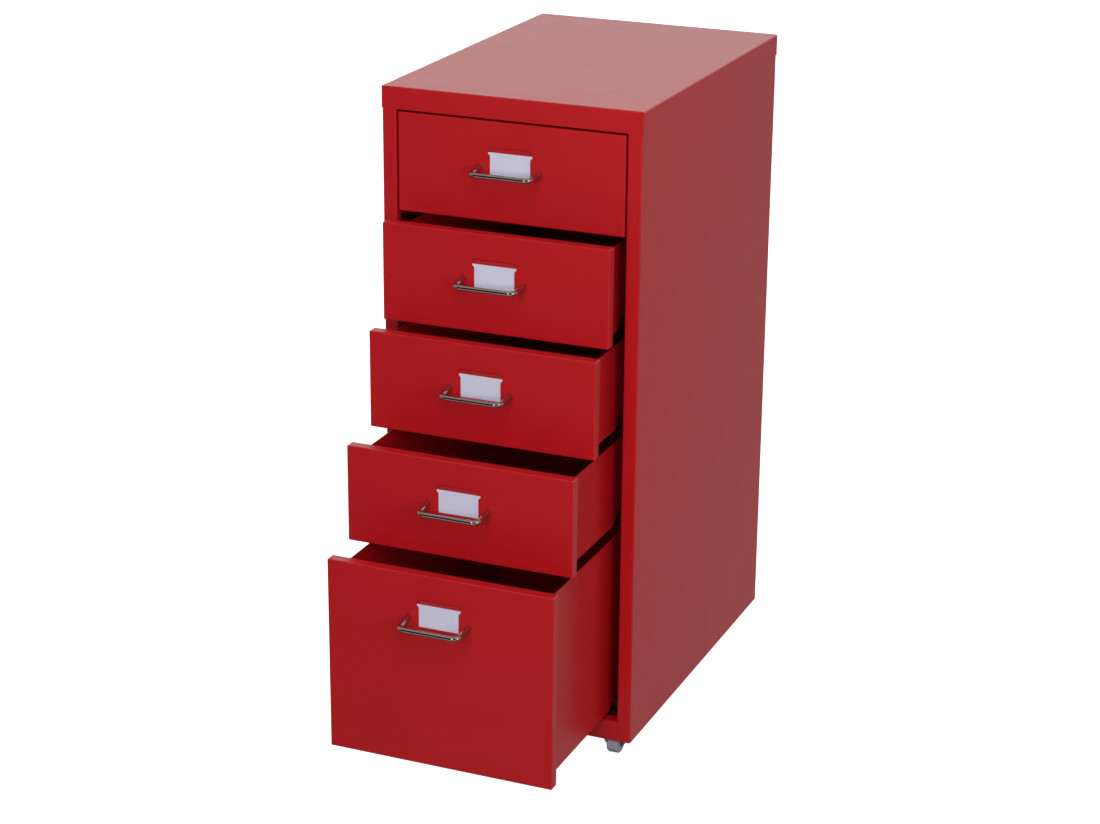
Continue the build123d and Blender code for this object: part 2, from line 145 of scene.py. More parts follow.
class Piece:
    """One mesh that is shaped in edit mode, its faces and edges chosen by their place and direction."""

    def __init__(self, name: str) -> None:
        """Take over the active object.

        Args:
            name: what the finished piece is called.
        """
        self.object = bpy.context.object
        self.object.name = name
        self.object.data.name = name
        bpy.ops.object.transform_apply(location=True, rotation=True, scale=True)
        self.edit()

    @classmethod
    def box(cls, name: str, low: Place, high: Place) -> "Piece":
        """Start from a cube between two corners.

        Args:
            name: the piece's name.
            low: its lowest corner.
            high: its highest corner.

        Returns:
            The piece, in edit mode.
        """
        leave_edit_mode()
        low, high = Vector(low), Vector(high)
        bpy.ops.mesh.primitive_cube_add(size=1.0, location=(low + high) / 2, scale=high - low)
        return cls(name)

    @classmethod
    def sheet(cls, name: str, path: Sequence[Place], along: Place) -> "Piece":
        """Start from a flat strip and extrude it on, one fold line after another.

        Args:
            name: the piece's name.
            path: the fold's section, with a point for each free edge and each fold line between them.
            along: the vector from one end of the fold lines to the other. The outer face lies on the side
                of the cross product of the first step of the path and this vector.

        Returns:
            The piece, in edit mode, its fold lines still sharp.
        """
        leave_edit_mode()
        points = [Vector(point) for point in path]
        along = Vector(along)
        across = points[1] - points[0]
        axes = (across.normalized(), along.normalized(), across.cross(along).normalized())
        turn = Matrix(axes).transposed().to_euler()
        centre = points[0] + (across + along) / 2
        bpy.ops.mesh.primitive_plane_add(size=1.0, location=centre, rotation=turn)
        bpy.context.object.scale = (across.length, along.length, 1.0)
        piece = cls(name)
        for start, end in zip(points[1:], points[2:]):
            piece.pick_edges(fold_line(start, along))
            piece.extrude(end - start)
        return piece

    @classmethod
    def prism(cls, name: str, outline: Sequence[Place], along: Place) -> "Piece":
        """Start from a flat outline and extrude it to a closed solid.

        Args:
            name: the piece's name.
            outline: the outline's corners, in order, all in one plane.
            along: the vector that it is extruded by.

        Returns:
            The piece, in edit mode.
        """
        leave_edit_mode()
        bpy.ops.mesh.primitive_circle_add(vertices=len(outline), radius=1.0)
        for vertex, corner in zip(bpy.context.object.data.vertices, outline):
            vertex.co = corner
        piece = cls(name)
        bpy.ops.mesh.select_mode(type="EDGE")
        bpy.ops.mesh.select_all(action="SELECT")
        bpy.ops.mesh.edge_face_add()
        bpy.ops.mesh.select_mode(type="FACE")
        bpy.ops.mesh.select_all(action="SELECT")
        piece.extrude(along)
        piece.weld()
        return piece

    @classmethod
    def turned(
        cls, name: str, centre: Place, way: Way, profile: Sequence[Place], steps: int = 48
    ) -> "Piece":
        """Turn a profile round an axis, ring by ring.

        Args:
            name: the piece's name.
            centre: the point from which the profile's distances are measured.
            way: the way that the axis points.
            profile: radius and distance along the axis of each ring. A profile that ends where it starts
                makes a ring with a bore, and any other is capped at both ends.
            steps: how many sides each ring has.

        Returns:
            The piece, in edit mode.
        """
        leave_edit_mode()
        centre, axis = Vector(centre), Vector(way.value)
        radius, distance = profile[0]
        turn = Vector((0, 0, 1)).rotation_difference(axis).to_euler()
        place = centre + axis * distance
        bpy.ops.mesh.primitive_circle_add(vertices=steps, radius=radius, location=place, rotation=turn)
        piece = cls(name)
        bpy.ops.mesh.select_mode(type="EDGE")
        bpy.ops.mesh.select_all(action="SELECT")
        for next_radius, next_distance in profile[1:]:
            piece.extrude(axis * (next_distance - distance))
            ratio = next_radius / radius
            here = centre + axis * next_distance
            bpy.ops.transform.resize(value=(ratio, ratio, ratio), center_override=here)
            radius, distance = next_radius, next_distance
        if tuple(profile[0]) != tuple(profile[-1]):
            piece.close_ends()
        piece.weld()
        return piece

    @classmethod
    def wire(cls, name: str, radius: float, path: Sequence[Place], bend: float, steps: int = 32) -> "Piece":
        """Draw a round wire along straight runs, and spin it round an arc at each corner.

        Args:
            name: the piece's name.
            radius: the wire's radius.
            path: the points that its centre line would pass if the corners were sharp.
            bend: the arcs' radius at the centre line.
            steps: how many sides the wire has.

        Returns:
            The piece, in edit mode, both ends capped.
        """
        leave_edit_mode()
        points = [Vector(point) for point in path]
        way = (points[1] - points[0]).normalized()
        turn = Vector((0, 0, 1)).rotation_difference(way).to_euler()
        bpy.ops.mesh.primitive_circle_add(vertices=steps, radius=radius, location=points[0], rotation=turn)
        piece = cls(name)
        bpy.ops.mesh.select_mode(type="EDGE")
        bpy.ops.mesh.select_all(action="SELECT")
        here = points[0]
        for corner, after in zip(points[1:], points[2:]):
            next_way = (after - corner).normalized()
            angle = way.angle(next_way)
            setback = bend * math.tan(angle / 2)
            piece.extrude(corner - way * setback - here)
            here = corner - way * setback
            axis = way.cross(next_way).normalized()
            centre = here + axis.cross(way) * bend
            facets = round(math.degrees(angle) / WIRE_FACET)
            bpy.ops.mesh.spin(steps=facets, angle=-angle, center=centre, axis=axis)
            here = corner + next_way * setback
            way = next_way
        piece.extrude(points[-1] - here)
        piece.close_ends()
        piece.weld()
        return piece

    def activate(self) -> None:
        """Select this piece alone, in object mode."""
        leave_edit_mode()
        self.object.select_set(True)
        bpy.context.view_layer.objects.active = self.object

    def edit(self) -> None:
        """Go to edit mode on this piece alone."""
        self.activate()
        bpy.ops.object.mode_set(mode="EDIT")

    def pick_faces(self, test: Test) -> None:
        """Select the faces that pass a test.

        Args:
            test: it is given each face's centre and normal.
        """
        bpy.ops.mesh.select_mode(type="FACE")
        bpy.ops.mesh.select_all(action="DESELECT")
        mesh = bmesh.from_edit_mesh(self.object.data)
        mesh.normal_update()
        for face in mesh.faces:
            face.select = test(face.calc_center_median(), face.normal)
        mesh.select_flush_mode()
        bmesh.update_edit_mesh(self.object.data)

    def pick_edges(self, test: Test) -> None:
        """Select the edges that pass a test.

        Args:
            test: it is given each edge's middle and direction.
        """
        bpy.ops.mesh.select_mode(type="EDGE")
        bpy.ops.mesh.select_all(action="DESELECT")
        mesh = bmesh.from_edit_mesh(self.object.data)
        for edge in mesh.edges:
            first, second = (vertex.co for vertex in edge.verts)
            edge.select = test((first + second) / 2, (second - first).normalized())
        mesh.select_flush_mode()
        bmesh.update_edit_mesh(self.object.data)

    def close_ends(self) -> None:
        """Fill each open ring of edges with a face."""
        bpy.ops.mesh.select_mode(type="VERT")
        bpy.ops.mesh.select_all(action="SELECT")
        bpy.ops.mesh.fill_holes(sides=0)

    def extrude(self, by: Place) -> None:
        """Extrude what is selected along a vector."""
        bpy.ops.mesh.extrude_region_move(TRANSFORM_OT_translate={"value": tuple(by)})

    def round_edges(self, setback: float, steps: int) -> None:
        """Round the selected edges, from a setback on each side."""
        bpy.ops.mesh.bevel(offset=setback, segments=steps, affect="EDGES", clamp_overlap=True)

    def bend(self, at: Place, along: Place, setback: float, steps: int) -> None:
        """Round one fold line of a sheet.

        Args:
            at: the fold line's end that lies on the section's path.
            along: the vector along the fold line.
            setback: how far back on each side the bend starts.
            steps: how many facets the bend has.
        """
        self.pick_edges(fold_line(Vector(at), Vector(along)))
        self.round_edges(setback, steps)

    def weld(self, within: float = NEAR / 10) -> None:
        """Merge points that lie close together and turn every face outwards.

        Args:
            within: how far apart such points may lie.
        """
        bpy.ops.mesh.select_mode(type="VERT")
        bpy.ops.mesh.select_all(action="SELECT")
        bpy.ops.mesh.remove_doubles(threshold=within)
        bpy.ops.mesh.normals_make_consistent(inside=False)

    def apply(self, kind: str, **settings: Any) -> None:
        """Add a modifier and apply it.

        Args:
            kind: the modifier's type.
            settings: its settings.
        """
        self.activate()
        modifier = self.object.modifiers.new(kind.title(), kind)
        for setting, value in settings.items():
            setattr(modifier, setting, value)
        bpy.ops.object.modifier_apply(modifier=modifier.name)

    def thicken(self, sheet: float) -> None:
        """Give a bent sheet its thickness, inwards from its outer face."""
        self.apply("SOLIDIFY", thickness=sheet, offset=-1.0, use_even_offset=True, use_quality_normals=True)
        self.edit()

    def combine(self, tool: "Piece", operation: str = "DIFFERENCE") -> None:
        """Cut another piece out of this one, or add or intersect it, and use that piece up.

        Args:
            tool: a closed piece.
            operation: DIFFERENCE, UNION or INTERSECT.
        """
        self.apply("BOOLEAN", object=tool.object, operation=operation, solver="EXACT")
        bpy.data.objects.remove(tool.object)
        self.edit()

    def join(self, others: Iterable["Piece"]) -> None:
        """Take other pieces into this one, each still a closed shell of its own.

        Args:
            others: the pieces, which are used up.
        """
        leave_edit_mode()
        for other in others:
            other.object.select_set(True)
        self.object.select_set(True)
        bpy.context.view_layer.objects.active = self.object
        bpy.ops.object.join()
        self.edit()

    def copy(self, name: str, by: Place = (0, 0, 0), mirror: bool = False) -> "Piece":
        """Copy this piece with a mesh of its own.

        Args:
            name: the copy's name.
            by: how far the copy is moved.
            mirror: whether the copy is first mirrored in the plane x = 0.

        Returns:
            The copy, in edit mode.
        """
        leave_edit_mode()
        twin = self.object.copy()
        twin.data = self.object.data.copy()
        bpy.context.scene.collection.objects.link(twin)
        flip = Matrix.Scale(-1 if mirror else 1, 4, (1, 0, 0))
        twin.data.transform(Matrix.Translation(Vector(by)) @ flip)
        if mirror:
            twin.data.flip_normals()
        twin.select_set(True)
        bpy.context.view_layer.objects.active = twin
        return Piece(name)

    def discard(self) -> None:
        """Delete a piece that was only a pattern for its copies."""
        leave_edit_mode()
        bpy.data.objects.remove(self.object)

    def soften(self, width: float, steps: int = 2, sharper_than: float = 40.0) -> None:
        """Take the sharpness off edges.

        Args:
            width: how far from an edge its new faces reach.
            steps: how many faces there are across it.
            sharper_than: the turn in degrees past which an edge is softened.
        """
        angle = math.radians(sharper_than)
        self.apply("BEVEL", width=width, segments=steps, limit_method="ANGLE", angle_limit=angle)
        self.edit()

    def finish(self, look: Look, body: str, *nodes: str) -> None:
        """Shade the piece, dress it and hand it to the frame.

        Args:
            look: its material and slot.
            body: the body that it moves with.
            nodes: the frame's nodes that it stands for.
        """
        self.activate()
        bpy.ops.object.shade_smooth_by_angle(angle=math.radians(SMOOTH_BELOW))
        self.apply("WEIGHTED_NORMAL", keep_sharp=True)
        self.object.data.materials.clear()
        self.object.data.materials.append(look.material)
        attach(self.object, body)
        if nodes:
            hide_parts(*nodes)
        log.info("%s: %d faces", self.object.name, len(self.object.data.polygons))
        leave_edit_mode()


class NodeBoard:
    """Wires up the shader nodes of one material or of the world."""

    def __init__(self, tree: bpy.types.NodeTree) -> None:
        """Clear a node tree and start on it."""
        self.tree = tree
        tree.nodes.clear()

    @classmethod
    def material(cls, name: str) -> tuple["NodeBoard", bpy.types.Material]:
        """Make a new material.

        Args:
            name: the finish's name.

        Returns:
            Its board and the material.
        """
        look = bpy.data.materials.new(name)
        look.use_nodes = True
        return cls(look.node_tree), look

    def add(self, kind: str, inputs: dict[str | int, Any], **settings: Any) -> bpy.types.Node:
        """Add a node.

        Args:
            kind: the node's type without its ShaderNode prefix.
            inputs: a value or another node's socket for each input, by its name or number.
            settings: the node's own settings.

        Returns:
            The node.
        """
        node = self.tree.nodes.new("ShaderNode" + kind)
        for setting, value in settings.items():
            setattr(node, setting, value)
        for key, value in inputs.items():
            if isinstance(value, Socket):
                self.tree.links.new(value, node.inputs[key])
            else:
                node.inputs[key].default_value = value
        return node

    def noise(self, size: float, detail: float = 2.0, stretch: Place = (1, 1, 1)) -> Socket:
        """A noise on the object's own coordinates.

        Args:
            size: the width of its spots.
            detail: how many finer layers it has.
            stretch: how many times longer its spots are along each axis.

        Returns:
            The socket of its value.
        """
        place = self.add("TexCoord", {}).outputs["Object"]
        scale = tuple(1 / factor for factor in stretch)
        mapping = self.add("Mapping", {"Vector": place, "Scale": scale})
        inputs = {"Vector": mapping.outputs["Vector"], "Scale": 1 / size, "Detail": detail}
        return self.add("TexNoise", inputs).outputs["Fac"]

    def span(self, value: Socket, low: float, high: float, start: float = 0.3, end: float = 0.7) -> Socket:
        """Spread a value from start to end over a range from low to high."""
        inputs = {"Value": value, "From Min": start, "From Max": end, "To Min": low, "To Max": high}
        return self.add("MapRange", inputs).outputs["Result"]

    def calculate(self, operation: str, first: Any, second: Any) -> Socket:
        """Work out one sum of two values or sockets."""
        return self.add("Math", {0: first, 1: second}, operation=operation).outputs[0]

    def ease(self, value: Socket, start: float, end: float) -> Socket:
        """Rise smoothly from 0 where a value is at start to 1 where it is at end."""
        inputs = {"Value": value, "From Min": start, "From Max": end}
        return self.add("MapRange", inputs, interpolation_type="SMOOTHSTEP").outputs["Result"]

    def product(self, *factors: Any) -> Socket:
        """Multiply values and sockets."""
        return reduce(partial(self.calculate, "MULTIPLY"), factors)

    def blend(self, noise: Socket, first: Colour, second: Colour) -> Socket:
        """Mix two colours by a noise."""
        inputs = {"Fac": self.span(noise, 0, 1), "Color1": (*first, 1), "Color2": (*second, 1)}
        return self.add("MixRGB", inputs).outputs["Color"]

    def bump(self, height: Socket, depth: float, over: Socket | None = None) -> Socket:
        """Turn a height from 0 to 1 into a bumped normal.

        Args:
            height: the height's socket.
            depth: how deep the bumps are.
            over: another normal that this one is laid over.

        Returns:
            The socket of the normal.
        """
        inputs: dict[str, Any] = {"Height": height, "Distance": depth, "Strength": 1.0}
        if over is not None:
            inputs["Normal"] = over
        return self.add("Bump", inputs).outputs["Normal"]

    def surface(self, inputs: dict[str, Any]) -> None:
        """Finish the material with one shader."""
        shader = self.add("BsdfPrincipled", inputs)
        self.add("OutputMaterial", {"Surface": shader.outputs["BSDF"]})


@dataclass(frozen=True)
class PowderCoat:
    """Baked semi-gloss paint with a faint orange peel."""

    colour: Colour = (0.42, 0.0052, 0.0085)
    thin: Colour = (0.402, 0.0049, 0.0081)
    patch_size: float = 90 * MM
    dull_size: float = 30 * MM
    gloss: float = 0.365
    dull: float = 0.385
    peel_size: float = 2.2 * MM
    peel_depth: float = 0.006 * MM
    grain_size: float = 0.5 * MM
    grain_depth: float = 0.0012 * MM
    refraction: float = 1.5

    def make(self) -> bpy.types.Material:
        """Build the material.

        Returns:
            The material.
        """
        board, look = NodeBoard.material("red_powder_coat")
        patches = board.noise(self.patch_size, detail=4.0)
        peel = board.bump(board.noise(self.peel_size, detail=1.0), self.peel_depth)
        board.surface({
            "Base Color": board.blend(patches, self.colour, self.thin),
            "Roughness": board.span(board.noise(self.dull_size, detail=3.0), self.gloss, self.dull),
            "Normal": board.bump(board.noise(self.grain_size), self.grain_depth, peel),
            "IOR": self.refraction,
        })
        return look


@dataclass(frozen=True)
class BrightWire:
    """Chrome plate over drawn wire, with faint lengthwise draw marks."""

    plate: Colour = (0.52, 0.48, 0.45)
    warm: Colour = (0.46, 0.42, 0.39)
    cloud_size: float = 9 * MM
    mark_size: float = 0.7 * MM
    mark_stretch: Triple = (14, 1, 1)
    mark_depth: float = 0.002 * MM
    clean: float = 0.06
    worn: float = 0.1

    def make(self) -> bpy.types.Material:
        """Build the material.

        Returns:
            The material.
        """
        board, look = NodeBoard.material("bright_chrome_wire")
        clouds = board.noise(self.cloud_size)
        marks = board.noise(self.mark_size, detail=3.0, stretch=self.mark_stretch)
        board.surface({
            "Base Color": board.blend(clouds, self.plate, self.warm),
            "Metallic": 1.0,
            "Roughness": board.span(marks, self.clean, self.worn),
            "Normal": board.bump(marks, self.mark_depth),
        })
        return look


@dataclass(frozen=True)
class ZincPlate:
    """Zinc on pressed steel, a little cloudy."""

    name: str = "bright_zinc_plate"
    bright: Colour = (0.26, 0.265, 0.28)
    cloudy: Colour = (0.17, 0.175, 0.19)
    cloud_size: float = 6 * MM
    clear: float = 0.28
    matt: float = 0.46
    brush_size: float = 0.4 * MM
    brush_stretch: Triple = (1, 12, 1)
    brush_depth: float = 0.003 * MM

    def make(self) -> bpy.types.Material:
        """Build the material.

        Returns:
            The material.
        """
        board, look = NodeBoard.material(self.name)
        clouds = board.noise(self.cloud_size, detail=4.0)
        brush = board.noise(self.brush_size, stretch=self.brush_stretch)
        board.surface({
            "Base Color": board.blend(clouds, self.bright, self.cloudy),
            "Metallic": 1.0,
            "Roughness": board.span(clouds, self.clear, self.matt),
            "Normal": board.bump(brush, self.brush_depth),
        })
        return look


@dataclass(frozen=True)
class MouldedGrey:
    """Grey moulded plastic with a fine eroded grain and some dust."""

    pale: Colour = (0.33, 0.32, 0.40)
    dusty: Colour = (0.27, 0.26, 0.32)
    dust_size: float = 4 * MM
    clean: float = 0.42
    dull: float = 0.6
    grain_size: float = 0.35 * MM
    grain_depth: float = 0.012 * MM

    def make(self) -> bpy.types.Material:
        """Build the material.

        Returns:
            The material.
        """
        board, look = NodeBoard.material("grey_moulded_plastic")
        dust = board.noise(self.dust_size, detail=5.0)
        board.surface({
            "Base Color": board.blend(dust, self.pale, self.dusty),
            "Roughness": board.span(dust, self.clean, self.dull),
            "Normal": board.bump(board.noise(self.grain_size), self.grain_depth),
        })
        return look


@dataclass(frozen=True)
class CardStock:
    """Smooth white card with a faint fibre."""

    white: Colour = (0.555, 0.55, 0.68)
    fibre: Colour = (0.53, 0.525, 0.65)
    fibre_size: float = 0.6 * MM
    fibre_stretch: Triple = (5, 1, 1)
    fibre_depth: float = 0.01 * MM
    smooth: float = 0.62
    rough: float = 0.78

    def make(self) -> bpy.types.Material:
        """Build the material.

        Returns:
            The material.
        """
        board, look = NodeBoard.material("white_label_card")
        fibres = board.noise(self.fibre_size, detail=4.0, stretch=self.fibre_stretch)
        board.surface({
            "Base Color": board.blend(fibres, self.white, self.fibre),
            "Roughness": board.span(fibres, self.smooth, self.rough),
            "Normal": board.bump(fibres, self.fibre_depth),
        })
        return look


@dataclass(frozen=True)
class StudioFloor:
    """A pale seamless floor."""

    pale: Colour = (0.84, 0.84, 0.85)
    shade: Colour = (0.81, 0.81, 0.82)
    patch_size: float = 0.6
    roughness: float = 0.9
    lift: float = 0.93

    def make(self) -> bpy.types.Material:
        """Build the material.

        Returns:
            The material.
        """
        board, look = NodeBoard.material("pale_studio_floor")
        patches = board.noise(self.patch_size, detail=3.0)
        board.surface({
            "Base Color": board.blend(patches, self.pale, self.shade),
            "Roughness": self.roughness,
            "Emission Color": (1, 1, 1, 1),
            "Emission Strength": self.lift,
        })
        return look


@dataclass(frozen=True)
class Looks:
    """The finishes that the sub-assemblies share."""

    paint: Look
    chrome: Look
    zinc: Look
    # zinc darkened to near black as painted shade, for the runners and keepers inside the cabinet
    dull_zinc: Look
    plastic: Look
    card: Look

    @classmethod
    def make(cls) -> "Looks":
        """Build each finish once.

        Returns:
            All of them.
        """
        # The runners and keepers get a near-black zinc. This is painted shade that stands in for the shadow
        # around them inside the cabinet, not the metal's own colour.
        dull = ZincPlate("dull_zinc_plate", bright=(0.06, 0.06, 0.065), cloudy=(0.04, 0.04, 0.045))
        return cls(
            paint=Look(PowderCoat().make(), Slot.RED_PAINT),
            chrome=Look(BrightWire().make(), Slot.CHROME),
            zinc=Look(ZincPlate().make(), Slot.ZINC),
            dull_zinc=Look(dull.make(), Slot.ZINC),
            plastic=Look(MouldedGrey().make(), Slot.GREY_PLASTIC),
            card=Look(CardStock().make(), Slot.WHITE_CARD),
        )


@dataclass(frozen=True)
class Gauge:
    """The sheet that a folded piece is made of."""

    sheet: float = 1.0 * MM
    bend: float = 1.5 * MM
    bend_steps: int = 5
    burr: float = 0.15 * MM


def folded(
    name: str, gauge: Gauge, path: Sequence[Place], along: Place, radii: dict[int, float] | None = None
) -> Piece:
    """Fold a strip along its section and give it its thickness.

    Args:
        name: the piece's name.
        gauge: its sheet.
        path: the section along the strip's outer face.
        along: the vector along the fold lines.
        radii: that face's radius at a place in the path, counted from 0, where it isn't the gauge's own.

    Returns:
        The sheet, in edit mode.
    """
    piece = Piece.sheet(name, path, along)
    for index, point in enumerate(path[1:-1], start=1):
        radius = (radii or {}).get(index, gauge.bend)
        before = Vector(point) - Vector(path[index - 1])
        after = Vector(path[index + 1]) - Vector(point)
        piece.bend(point, along, radius * math.tan(before.angle(after) / 2), gauge.bend_steps)
    piece.thicken(gauge.sheet)
    return piece


def open_box(name: str, gauge: Gauge, low: Place, high: Place, openings: Sequence[Place]) -> Piece:
    """Fold a box that is open on one side or more, its sheet inside the given corners.

    Args:
        name: the piece's name.
        gauge: its sheet.
        low: the box's lowest corner.
        high: its highest corner.
        openings: the outward normals of the sides that are left open.

    Returns:
        The box's outer skin, in edit mode, its bends rounded and its sheet still without thickness.
    """
    piece = Piece.box(name, low, high)
    gone = [Vector(way) for way in openings]
    piece.pick_faces(lambda place, normal: any(normal.dot(way) > ALIGNED for way in gone))
    bpy.ops.mesh.delete(type="FACE")
    rims = [(way, max(Vector(low).dot(way), Vector(high).dot(way))) for way in gone]
    piece.pick_edges(lambda place, run: all(abs(place.dot(way) - rim) > NEAR for way, rim in rims))
    piece.round_edges(gauge.bend, gauge.bend_steps)
    return piece


@dataclass(frozen=True)
class PanHeadScrew:
    """A pan-head screw with a cross recess.

    The dome's pairs are shares of the head's radius and height. The recess's reach and width are shares of
    the radius too, its depth of the height, and the tip's share is of the shank's radius.
    """

    head_radius: float
    head: float
    shank_radius: float
    shank: float
    dome: tuple[Pair, ...] = ((0.45, 1.0), (0.75, 0.96), (0.92, 0.8), (1.0, 0.45), (1.0, 0.0))
    lead: float = 0.5 * MM
    tip: float = 0.7
    recess_reach: float = 0.6
    recess_width: float = 0.1
    recess_depth: float = 0.55

    def make(self, name: str, seat: Place, way: Way) -> Piece:
        """Turn the screw and cut its recess.

        Args:
            name: the piece's name.
            seat: the middle of the head's underside.
            way: the way that the shank points.

        Returns:
            The screw, in edit mode.
        """
        profile = [(self.head_radius * across, -self.head * up) for across, up in self.dome]
        profile += [
            (self.shank_radius, 0),
            (self.shank_radius, self.shank - self.lead),
            (self.shank_radius * self.tip, self.shank),
        ]
        screw = Piece.turned(name, seat, way, profile, steps=24)
        axis = Vector(way.value)
        crown = Vector(seat) - axis * self.head
        across = [unit for unit in Matrix.Identity(3) if not unit.dot(axis)]
        deep = Vector(map(abs, axis)) * self.head * self.recess_depth
        for one, other in (across, across[::-1]):
            half = (one * self.recess_reach + other * self.recess_width) * self.head_radius + deep
            screw.combine(Piece.box("recess", crown - half, crown + half))
        return screw


@dataclass
class Cabinet:
    """The painted shell: lid, sides, back, base and sill, with the runners welded inside it."""

    looks: Looks
    gauge: Gauge = Gauge()
    stile_lip: float = 8 * MM
    rear_flange: float = 14 * MM
    runners_a_side: int = 5
    runner_ledge: float = 8.3 * MM
    runner_flange: float = 10 * MM
    stop_height: float = 12 * MM
    stop_width: float = 8 * MM
    stop_inset: float = 1.7 * MM
    stop_running_gap: float = 0.3 * MM
    drawer_flange: float = 9 * MM

    def build(self) -> None:
        """Make every piece of the shell."""
        self.lid()
        self.sides()
        self.sill()
        self.back_and_base()
        self.keepers()
        self.runners()

    def lid(self) -> None:
        """The lid, a tray turned upside down."""
        lid = open_box("lid_sheet", self.gauge, *corners("top_cap"), [(0, 0, -1)])
        lid.thicken(self.gauge.sheet)
        lid.soften(self.gauge.burr)
        lid.finish(self.looks.paint, CABINET, "top_cap")

    def sides(self) -> None:
        """Both sides: a stile with its lip in front, a flange behind and a tuck under the lid."""
        low, high = corners("right_side_panel")
        lid_edge = corners("top_cap")[0].z
        sill_top = corners("bottom_rail")[1].z
        section = [
            (low.x, low.y + self.gauge.sheet + self.stile_lip, low.z),
            (low.x, low.y, low.z),
            (high.x, low.y, low.z),
            (high.x, high.y, low.z),
            (high.x - self.rear_flange, high.y, low.z),
        ]
        side = Piece.sheet("right_side_sheet", section, (0, 0, lid_edge - low.z))
        bpy.ops.mesh.select_all(action="SELECT")
        bpy.ops.mesh.bisect(plane_co=(0, 0, sill_top), plane_no=(0, 0, 1))
        side.pick_faces(lambda place, normal: place.z < sill_top and place.x < low.x + NEAR)
        bpy.ops.mesh.delete(type="FACE")
        for index, (x, y, _) in enumerate(section[1:-1]):
            lowest = sill_top if index == 0 else low.z
            side.pick_edges(
                lambda place, way, x=x, y=y, lowest=lowest: abs(way.z) > ALIGNED
                and math.hypot(place.x - x, place.y - y) < NEAR
                and place.z > lowest
            )
            side.round_edges(self.gauge.bend, self.gauge.bend_steps)
        side.pick_edges(
            lambda place, way: abs(way.y) > ALIGNED and place.x > high.x - NEAR and place.z > lid_edge - NEAR
        )
        side.extrude((0, 0, high.z - lid_edge))
        side.thicken(self.gauge.sheet)
        side.soften(self.gauge.burr)
        self.finish_pair(side, "left_side_sheet", self.looks.paint, "side_panel")

    @staticmethod
    def finish_pair(right: Piece, left_name: str, look: Look, kind: str) -> None:
        """Mirror a piece of the right side to the left one and finish both."""
        right.copy(left_name, mirror=True).finish(look, CABINET, f"left_{kind}")
        right.finish(look, CABINET, f"right_{kind}")

    def sill(self) -> None:
        """The sill between the stiles, its top turned back."""
        low, high = corners("bottom_rail")
        path = [(low.x, high.y, high.z), (low.x, low.y, high.z), low]
        sill = folded("sill_sheet", self.gauge, path, (high.x - low.x, 0, 0))
        sill.soften(self.gauge.burr)
        sill.finish(self.looks.paint, CABINET, "bottom_rail")

    def back_and_base(self) -> None:
        """The flat back and the drilled base keep the frame's own shapes and are painted."""
        for node in ("back_panel", "base_panel"):
            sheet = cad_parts[node].data
            sheet.materials.clear()
            sheet.materials.append(self.looks.paint.material)
            log.info("%s: painted", node)

    def keepers(self) -> None:
        """The angle above the top drawer on each side."""
        low, high = corners("right_keeper")
        path = [(low.x, high.y, low.z), (high.x, high.y, low.z), high]
        right = folded("right_keeper_angle", self.gauge, path, (0, low.y - high.y, 0))
        right.soften(self.gauge.burr)
        # the keepers take the near-black zinc: painted shade for the dark inside of the cabinet
        self.finish_pair(right, "left_keeper_angle", self.looks.dull_zinc, "keeper")

    def runners(self) -> None:
        """The stepped runners with their stop tabs, modelled once and copied to each drawer and side."""
        low, high = corners("right_runner_1")
        drawer_end = corners("drawer_1_body")[1]
        sheet = self.gauge.sheet
        depth = (0, low.y - high.y, 0)
        web_top = high.z - self.stop_height
        ledge_top = low.z + sheet
        riser = low.x + self.runner_ledge
        section = [
            (low.x, high.y, low.z),
            (riser, high.y, low.z),
            (riser, high.y, web_top - sheet),
            (high.x, high.y, web_top - sheet),
            (high.x, high.y, web_top - sheet + self.runner_flange),
        ]
        inner_fold = 2
        radii = {inner_fold: self.gauge.bend - sheet}
        runner = folded("runner_pattern", self.gauge, section, depth, radii)
        runner.soften(self.gauge.burr)
        front_x = riser + self.stop_inset
        rear_y = drawer_end.y + self.stop_running_gap
        rear_x = drawer_end.x - self.drawer_flange
        stops = [
            ((front_x, low.y, web_top), (front_x + self.stop_width, low.y + sheet, high.z)),
            ((low.x, rear_y, ledge_top), (rear_x, rear_y + sheet, ledge_top + self.stop_height)),
        ]
        tabs = [Piece.box("stop_tab", *stop) for stop in stops]
        for tab in tabs:
            tab.soften(self.gauge.burr)
        runner.join(tabs)
        for number in range(1, self.runners_a_side + 1):
            drop = corners(f"right_runner_{number}")[0].z - low.z
            for side in Side:
                node = f"{side.name.lower()}_runner_{number}"
                copy = runner.copy(f"{node}_sheet", (0, 0, drop), mirror=side is Side.LEFT)
                # the runners take the near-black zinc: painted shade for the dark gap beside the drawers
                copy.finish(self.looks.dull_zinc, CABINET, node)
        runner.discard()


